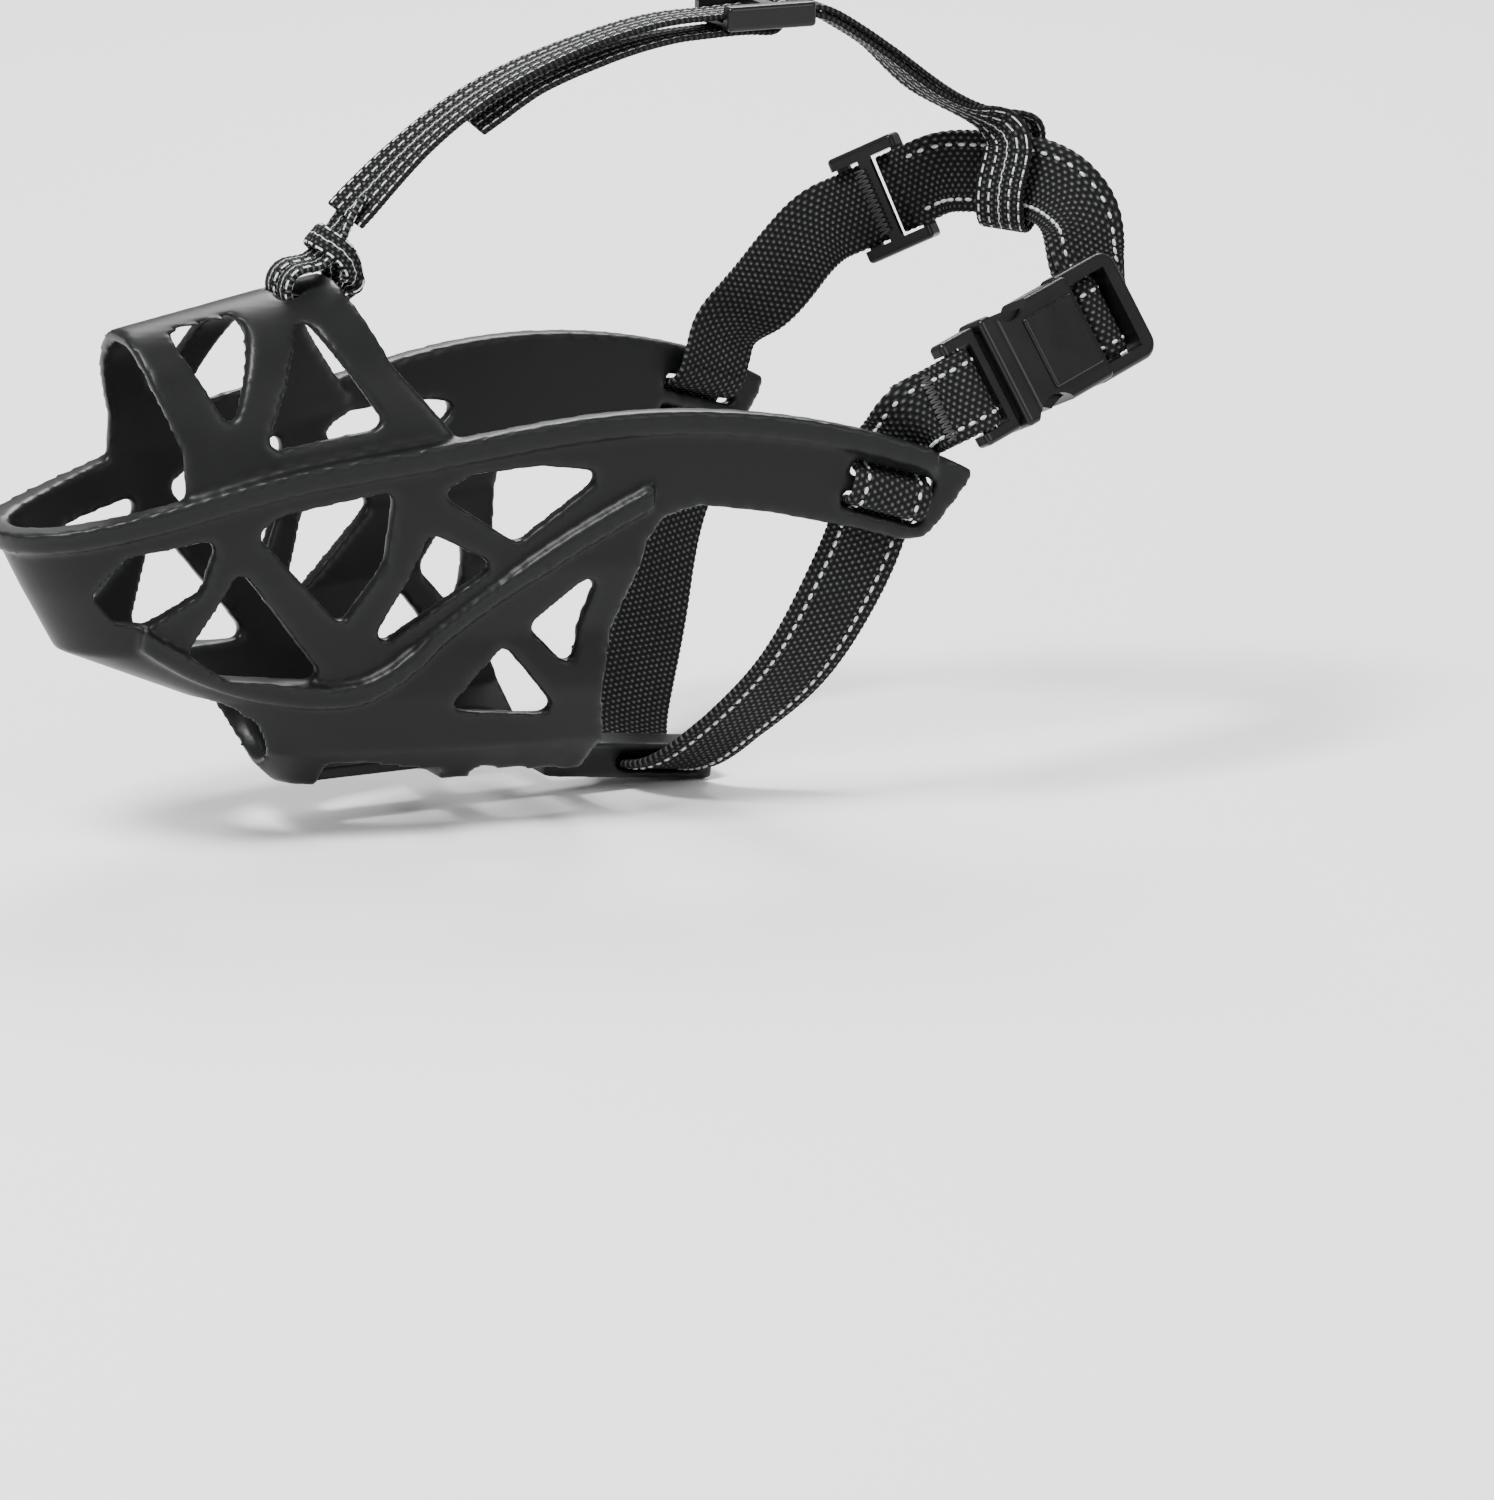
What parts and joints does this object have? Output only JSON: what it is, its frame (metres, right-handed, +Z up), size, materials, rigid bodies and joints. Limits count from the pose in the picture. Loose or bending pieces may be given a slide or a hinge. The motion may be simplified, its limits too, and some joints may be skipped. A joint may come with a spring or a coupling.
{
  "type": "basket muzzle",
  "caption": "Dog's basket muzzle: moulded rubber cage with large rounded windows, bridge and drinking hole, webbing neck loop with side-release buckle, throat and head straps.",
  "frame": {"origin": "centre of the opening that the snout enters, on the cage's middle plane", "axes": "+X the dog's left, +Y rearwards from nose to neck, +Z up"},
  "size_m": [0.099, 0.2327, 0.1557],
  "materials": {
    "cage_rubber": "satin moulded thermoplastic rubber",
    "webbing": "ribbed black webbing",
    "head_webbing": "narrow black webbing with reflective flecks",
    "reflective_thread": "silver-white reflective thread",
    "tack_thread": "black bar-tack thread",
    "buckle_plastic": "semi-gloss acetal"
  },
  "bodies": {
    "basket": {"cage": "cage_rubber", "throat_strap": "webbing", "stitch_throat": "reflective_thread", "head_hitch": "head_webbing", "tack_head_eye": "tack_thread", "head_strap_front": "head_webbing", "head_strap_tail": "head_webbing", "head_strap_rear": "head_webbing"},
    "neck_loop": {"neck_strap_left": "webbing", "stitch_neck_left": "reflective_thread", "tack_male_loop": "tack_thread", "buckle_frame": "buckle_plastic", "neck_strap_right": "webbing", "stitch_neck_right": "reflective_thread", "neck_strap_return": "webbing", "stitch_neck_return": "reflective_thread", "head_loop": "head_webbing"},
    "socket_side": {"buckle_socket": "buckle_plastic", "neck_strap_turn": "webbing"},
    "prong_upper": {"buckle_prong_upper": "buckle_plastic"},
    "prong_lower": {"buckle_prong_lower": "buckle_plastic"},
    "neck_slide": {"neck_slide": "buckle_plastic", "tack_neck_slide": "tack_thread"},
    "head_slide": {"head_slide": "buckle_plastic", "tack_head_slide": "tack_thread"}
  },
  "joints": [
    {"name": "neck_loop_tilt", "type": "hinge", "parent": "basket", "child": "neck_loop", "pos_m": [0, 0.051, 0.0035], "axis": [1, 0, 0], "range_deg": [-6, 15], "deforming": ["head_strap_rear"]},
    {"name": "buckle_release", "type": "slide", "parent": "neck_loop", "child": "socket_side", "axis": [-0.2559, 0.9256, 0.2789], "range_m": [0, 0.02], "deforming": ["buckle_prong_upper", "buckle_prong_lower"]},
    {"name": "prong_upper_squeeze", "type": "hinge", "parent": "neck_loop", "child": "prong_upper", "pos_m": [0.0388, 0.07597, 0.02932], "axis": [-0.9129, -0.1365, -0.3846], "range_deg": [0, 8], "stiffness_Nm_per_rad": 0.6},
    {"name": "prong_lower_squeeze", "type": "hinge", "parent": "neck_loop", "child": "prong_lower", "pos_m": [0.04262, 0.08021, 0.01876], "axis": [0.9129, 0.1365, 0.3846], "range_deg": [0, 8], "stiffness_Nm_per_rad": 0.6},
    {"name": "neck_slide_adjust", "type": "slide", "parent": "neck_loop", "child": "neck_slide", "axis": [0.6337, 0.6337, 0.4436], "range_m": [-0.003, 0.003]},
    {"name": "head_slide_adjust", "type": "slide", "parent": "basket", "child": "head_slide", "axis": [0, 0.9999, -0.0107], "range_m": [-0.004, 0.004]}
  ],
  "couplings": [
    {"joint": "prong_lower_squeeze", "follows": "prong_upper_squeeze", "ratio": 1}
  ]
}
